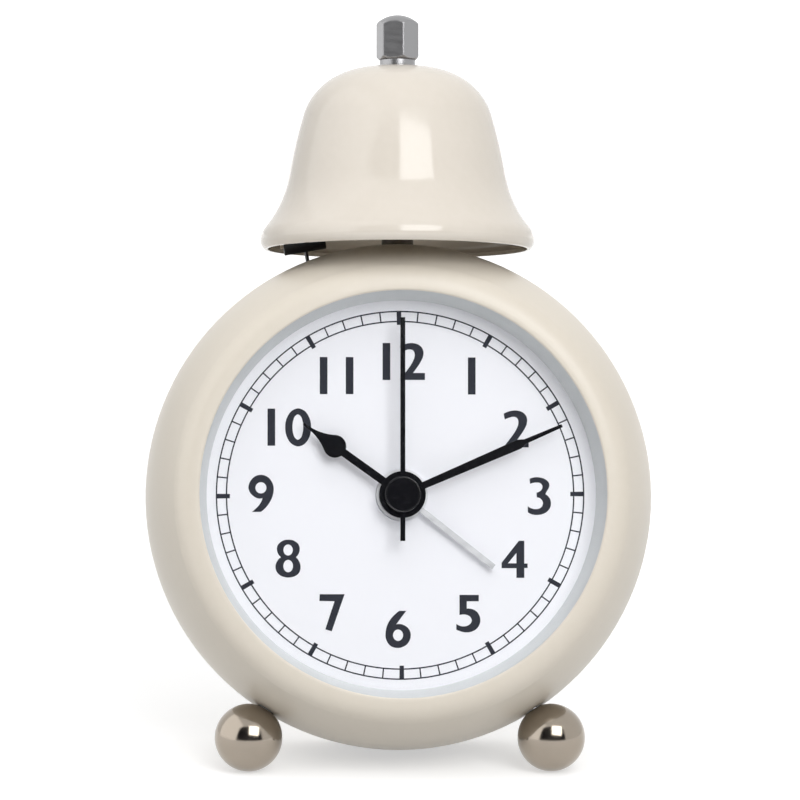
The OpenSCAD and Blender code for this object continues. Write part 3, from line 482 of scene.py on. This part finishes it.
FIGURES = {
    "0": [oval(36.3, 49.3, 35, 51.3), oval(35.5, 50.2, 14.5, 34.2)],
    "1": [corners((0, 0), (20.6, 0), (20.6, 100), (0, 100))],
    "2": [[
        [(3.7, 92), (18, 98.3), (28, 100.5), (37.6, 100.9), (48, 99), (56.2, 95.4), (63.5, 88),
         (67, 80), (67.6, 74.5), (66, 63.7), (59.5, 49.5), (48.6, 33), (39.2, 20.3)],
        [(39.2, 20.3), (71.4, 20.3)], [(71.4, 20.3), (71.4, 1.4)], [(71.4, 1.4), (3, 1.4)],
        [(3, 1.4), (15.7, 17.7), (21.2, 24.8), (32, 39.6), (39.8, 53.5), (43.2, 63), (43.8, 70),
         (41.5, 78.5), (36.5, 82.7), (29.5, 83.9), (18.5, 81.3), (7, 76.6)],
        [(7, 76.6), (3.7, 92)]]],
    "3": [[
        [(5, 96.1), (14, 99.2), (24.7, 100.4), (35, 99.3), (44.4, 96.5), (53.5, 90.3), (58, 83),
         (58.3, 77), (54.3, 67), (51, 61.7), (47.7, 54.6)],
        [(47.7, 54.6), (56, 48.3), (61.2, 39.5), (62.6, 30.9), (61.5, 21.5), (57.5, 13.3),
         (51.5, 7.2), (44.4, 2.8), (34, -0.4), (23.6, -1.3), (14, -0.4), (7.2, 1.8), (0.2, 5.7)],
        [(0.2, 5.7), (-0.2, 22.1)],
        [(-0.2, 22.1), (8.5, 17), (17, 14.7), (23.6, 14.4), (31, 16), (36.8, 19.9), (40, 25),
         (40.9, 30.3), (39.7, 36.2), (36.8, 40.7), (33, 43.7), (24.3, 46.2)],
        [(24.3, 46.2), (23.9, 58.9)],
        [(23.9, 58.9), (31.3, 61.5), (36, 65.3), (39, 70), (39.6, 75), (38.6, 79.5), (36.5, 82.5),
         (32, 85.2), (24.7, 86.2), (13.8, 85), (6, 82.5)],
        [(6, 82.5), (5, 96.1)]]],
    "4": [corners((50.1, 98.7), (64.8, 98.7), (64.8, 37.4), (73.7, 37.4), (73.7, 25.4), (64.8, 25.4),
                  (64.8, -1.3), (43.5, -1.3), (43.5, 24.8), (3.5, 24.8), (3.5, 39.6)),
          corners((20.6, 37.9), (43.5, 37.9), (43.5, 65.9))],
    "5": [[
        [(8, 100), (60, 100)], [(60, 100), (60, 82.9)], [(60, 82.9), (27.6, 82.9)],
        [(27.6, 82.9), (27.6, 63.1)],
        [(27.6, 63.1), (36.7, 62.9), (44, 61.2), (50.5, 58), (57, 52.3), (61.5, 45), (63.8, 37.5),
         (64.1, 30.5), (62.8, 22.5), (59.4, 14.9), (53, 7.8), (45.4, 3), (36, 0), (27, -0.9),
         (18, -0.1), (10.8, 1.9), (-0.6, 6.3)],
        [(-0.6, 6.3), (-0.6, 22)],
        [(-0.6, 22), (7.5, 17.4), (14.5, 15.5), (20.5, 15.2), (27.5, 16.5), (33.8, 19.6),
         (38.8, 24.8), (40.9, 31.1), (39.8, 36.5), (36.7, 41), (32, 44.4), (27, 46.4), (22, 47.3),
         (17.3, 47.4), (8, 45.6)],
        [(8, 45.6), (8, 100)]]],
    "6": [[
        [(38.5, 100.6), (57.8, 100.6)],
        [(57.8, 100.6), (44.6, 83.8), (35.9, 71.8), (30.4, 64.1)],
        [(30.4, 64.1), (36.5, 65.2), (43, 64.7), (50.5, 62.4), (57.8, 58.2), (64, 52), (67.8, 44.8),
         (69.4, 36), (68.2, 26), (64.3, 17.1), (58.5, 9.8), (51.2, 5), (43.5, 1.9), (35.2, 0.7),
         (26.5, 1.5), (18.4, 4.2), (11, 9.8), (5.3, 18.2), (2.1, 27), (1.3, 35.7), (2, 46),
         (4.2, 56.4), (7.8, 66), (12.9, 75.1), (19, 83.2), (26, 90.4), (38.5, 100.6)]],
        oval(35.2, 35, 13.6, 15.3)],
    "7": [corners((0.6, 99.6), (67.6, 99.6), (33, -0.2), (15.8, 5.2), (40.6, 80.8), (0, 81.4))],
    "8": [[
        [(55.9, 53.8), (63, 62), (66.2, 72), (66.4, 78.5), (64.8, 85), (61.2, 90.8), (55.5, 95.7),
         (46, 99.8), (35.8, 100.9), (26, 99.8), (16.5, 95.4), (10.3, 90.3), (6.6, 84.5), (5, 77.8),
         (5.4, 72), (8.6, 62.5), (16.2, 53.8)],
        [(16.2, 53.8), (10, 49), (5, 42), (2.2, 35), (1.3, 27.9), (2.3, 20), (6, 12.7), (11.5, 6.8),
         (19, 2.4), (27, 0), (35.8, -0.9), (44.7, 0), (52.5, 2.4), (60, 6.8), (65.2, 12.7), (68, 20),
         (68.7, 27.9), (67.9, 35), (65.3, 42), (61, 49), (55.9, 53.8)]],
        oval(35.2, 73.2, 12.6, 14.9), oval(35.4, 30, 13, 16.7)],
    "9": [[
        [(39.6, 37.2), (34.5, 35.9), (29.1, 36.1), (21.5, 38.6), (14.9, 43), (9.4, 48.3), (5, 54.7),
         (2.8, 60.5), (2.2, 66), (3.6, 74.5), (7.2, 82.7), (13, 90.3), (20.4, 95.8), (28, 98.9),
         (35.7, 99.8), (43.5, 98.9), (51, 95.8), (58.5, 90.2), (64.1, 82.7), (68, 75), (69.8, 66.3),
         (69.9, 57), (68.5, 47.7), (65.5, 38), (60.8, 28.2), (51, 13.8), (35.7, 0)],
        [(35.7, 0), (11.6, 0)],
        [(11.6, 0), (19.5, 6.6), (26.9, 13.8), (33, 21.5), (37.9, 30.2), (39.6, 37.2)]],
        oval(35.7, 64.8, 14.8, 15.1)],
}

# Where the middle of each figure sits on the dial, in mm from its centre
NUMERALS = {
    "12": [("1", -2.46, 23.59), ("2", 2.11, 23.60)],
    "1": [("1", 12.63, 21.07)],
    "2": [("2", 20.46, 11.73)],
    "3": [("3", 24.58, -0.14)],
    "4": [("4", 20.19, -11.31)],
    "5": [("5", 12.00, -20.90)],
    "6": [("6", -0.40, -23.68)],
    "7": [("7", -12.06, -20.76)],
    "8": [("8", -19.82, -11.23)],
    "9": [("9", -24.58, 0.26)],
    "10": [("1", -22.78, 11.94), ("0", -18.05, 11.91)],
    "11": [("1", -13.56, 21.07), ("1", -8.97, 21.08)],
}


def smooth_run(points):
    """The points with a smooth line drawn through them, the last one left out; two points stay straight."""
    spots = [Vector(p) for p in points]
    if len(spots) == 2:
        return [spots[0]]
    closed = (spots[0] - spots[-1]).length < 1e-6
    lengths = [(b - a).length for a, b in zip(spots, spots[1:])]
    slopes = [(b - a) / d for a, b, d in zip(spots, spots[1:], lengths)]
    tangents = [None] * len(spots)
    for i in range(1, len(spots) - 1):
        before, after = lengths[i - 1], lengths[i]
        tangents[i] = (slopes[i - 1] * after + slopes[i] * before) / (before + after)
    if closed:
        before, after = lengths[-1], lengths[0]
        tangents[0] = tangents[-1] = (slopes[-1] * after + slopes[0] * before) / (before + after)
    else:
        tangents[0] = 2 * slopes[0] - tangents[1]
        tangents[-1] = 2 * slopes[-1] - tangents[-2]
    line = []
    for i, length in enumerate(lengths):
        for step in range(RUN_STEPS):
            t = step / RUN_STEPS
            line.append((2 * t ** 3 - 3 * t ** 2 + 1) * spots[i]
                        + (t ** 3 - 2 * t ** 2 + t) * length * tangents[i]
                        + (3 * t ** 2 - 2 * t ** 3) * spots[i + 1]
                        + (t ** 3 - t ** 2) * length * tangents[i + 1])
    return line


def numeral(name, figures):
    """One hour's figures as a skin of ink."""
    verts, faces = [], []
    for figure, middle_x, middle_z in figures:
        outlines = [[s for run in outline for s in smooth_run(run)] for outline in FIGURES[figure]]
        xs, zs = [s.x for s in outlines[0]], [s.y for s in outlines[0]]
        middle = Vector(((min(xs) + max(xs)) / 2, (min(zs) + max(zs)) / 2))
        spot = Vector((middle_x, middle_z))
        flat = [(s - middle) * FIGURE_HEIGHT / 100 + spot for line in outlines for s in line]
        first, count = len(verts), len(flat)
        verts += [(s.x, y, s.y) for y in (INK_FRONT, INK_BACK) for s in flat]
        for face in tessellate_polygon([[s.to_3d() for s in line] for line in outlines]):
            faces.append([first + i for i in face])
            faces.append([first + count + i for i in face])
        begin = first
        for line in outlines:
            around = [begin + i for i in range(len(line))]
            for a, b in zip(around, around[1:] + around[:1]):
                faces.append([a, b, b + count, a + count])
            begin += len(line)
    printed("numeral_" + name, verts, faces)


minute_track()
for hour, figures in NUMERALS.items():
    numeral(hour, figures)

# ---------------------------------------------------------------- studio


def flat_card(name, width, height, at, facing):
    """A plain flat card of the studio, its face towards facing."""
    shape = bmesh.new()
    bmesh.ops.create_grid(shape, x_segments=1, y_segments=1, size=0.5)
    mesh = bpy.data.meshes.new(name)
    shape.to_mesh(mesh)
    shape.free()
    card = bpy.data.objects.new(name, mesh)
    bpy.context.scene.collection.objects.link(card)
    turn = Vector(facing).to_track_quat("Z", "Y").to_matrix().to_4x4()
    card.matrix_world = Matrix.Translation(at) @ turn @ Matrix.Diagonal((width, height, 1, 1))
    return card


def background_share(tree):
    """1 for rays that show the background itself: from the camera, a mirror or through clear plastic."""
    path = add(tree, "ShaderNodeLightPath", {}, {})
    first = add(tree, "ShaderNodeMath", {"operation": "MAXIMUM"},
                {0: path.outputs["Is Camera Ray"], 1: path.outputs["Is Glossy Ray"]})
    both = add(tree, "ShaderNodeMath", {"operation": "MAXIMUM"},
               {0: first.outputs[0], 1: path.outputs["Is Transmission Ray"]})
    return both.outputs[0]


# The floor, in metres: its size, and the distances from the clock between which its glow rises
FLOOR_COLOUR = "#d0d0d0"
FLOOR_SIZE = 12
FLOOR_NEAR, FLOOR_FAR = 0.25, 1.6
GLOW_NEAR, GLOW_FAR = 0.52, 0.92

# The dark room behind the camera, in metres, and the level of the even fill
ROOM_COLOUR = "#3a3840"
ROOM_SIZE = (4.2, 2.5)
ROOM_SPOT = (0.1, -2.2, 1.3)
FILL_LEVEL = 0.08

# The point that the soft boxes face, in the clock's own frame in mm
LIGHT_AIM = (0, 10, 15)


def white_floor():
    """A pale floor that the camera sees as white, with the clock's shadow on it.

    Its white rises with the distance from the clock, because the soft boxes light the far floor less.
    """
    material = bpy.data.materials.new("pale_studio_floor")
    tree = fresh_tree(material)
    share = background_share(tree)
    place = add(tree, "ShaderNodeNewGeometry", {}, {})
    away = add(tree, "ShaderNodeVectorMath", {"operation": "LENGTH"}, {0: place.outputs["Position"]})
    level = add(tree, "ShaderNodeMapRange", {},
                {"Value": away.outputs["Value"], "From Min": FLOOR_NEAR, "From Max": FLOOR_FAR,
                 "To Min": GLOW_NEAR, "To Max": GLOW_FAR})
    glow = add(tree, "ShaderNodeMath", {"operation": "MULTIPLY"}, {0: share, 1: level.outputs[0]})
    paper = add(tree, "ShaderNodeBsdfDiffuse", {}, {"Color": linear(FLOOR_COLOUR)})
    light = add(tree, "ShaderNodeEmission", {}, {"Color": (1, 1, 1, 1), "Strength": glow.outputs[0]})
    both = add(tree, "ShaderNodeAddShader", {}, {0: paper.outputs[0], 1: light.outputs[0]})
    add(tree, "ShaderNodeOutputMaterial", {}, {"Surface": both.outputs[0]})
    floor = flat_card("floor", FLOOR_SIZE, FLOOR_SIZE, (0, 0, 0), (0, 0, 1))
    floor.data.materials.append(material)


def dark_card():
    """The dark room behind the camera, seen only as a mirror image in metal, enamel and lens."""
    material = bpy.data.materials.new("dark_room_card")
    tree = fresh_tree(material)
    cloth = add(tree, "ShaderNodeBsdfDiffuse", {}, {"Color": linear(ROOM_COLOUR)})
    add(tree, "ShaderNodeOutputMaterial", {}, {"Surface": cloth.outputs[0]})
    card = flat_card("dark_room", *ROOM_SIZE, ROOM_SPOT, (0, 1, 0))
    card.data.materials.append(material)
    card.visible_camera = False
    card.visible_diffuse = False
    card.visible_shadow = False
    card.visible_transmission = False


def soft_box(name, side, height, distance, size, power, roll=0):
    """A soft box facing the clock, side degrees to the right of its front and height degrees above it.

    distance and size are in metres and power in watts; roll turns the box about the line to the clock.
    """
    data = bpy.data.lights.new(name, "AREA")
    data.shape = "RECTANGLE"
    data.size, data.size_y = size
    data.energy = power
    box = bpy.data.objects.new(name, data)
    bpy.context.scene.collection.objects.link(box)
    side, height = math.radians(side), math.radians(height)
    level = math.cos(height)
    towards = Vector((math.sin(side) * level, -math.cos(side) * level, math.sin(height)))
    facing = towards.to_track_quat("Z", "Y").to_matrix().to_4x4()
    turn = facing @ Matrix.Rotation(math.radians(roll), 4, "Z")
    box.matrix_world = Matrix.Translation(clock_point(*LIGHT_AIM) + towards * distance) @ turn
    return box


def studio_light():
    """A soft box in front, above and to the right, broad ones at the left, overhead and behind, and a fill.

    The boxes overhead and behind aren't mirrored in the gloss.
    """
    world = bpy.data.worlds.new("studio")
    bpy.context.scene.world = world
    tree = fresh_tree(world)
    share = background_share(tree)
    level = add(tree, "ShaderNodeMapRange", {}, {"Value": share, "To Min": FILL_LEVEL, "To Max": 1.0})
    sky = add(tree, "ShaderNodeBackground", {}, {"Color": (1, 1, 1, 1), "Strength": level.outputs[0]})
    add(tree, "ShaderNodeOutputWorld", {}, {"Surface": sky.outputs[0]})
    soft_box("key_box", 19, 32.5, 1.6, (0.94, 0.88), 14.5, -12)
    soft_box("left_box", -82, 25, 1.6, (2.4, 2.4), 12)
    soft_box("top_box", 6, 66, 1.6, (1.4, 1.2), 10.5).visible_glossy = False
    soft_box("rear_box", 172, 38, 1.6, (2.4, 2.4), 21).visible_glossy = False


white_floor()
dark_card()
studio_light()
bpy.context.scene.view_settings.view_transform = "Standard"
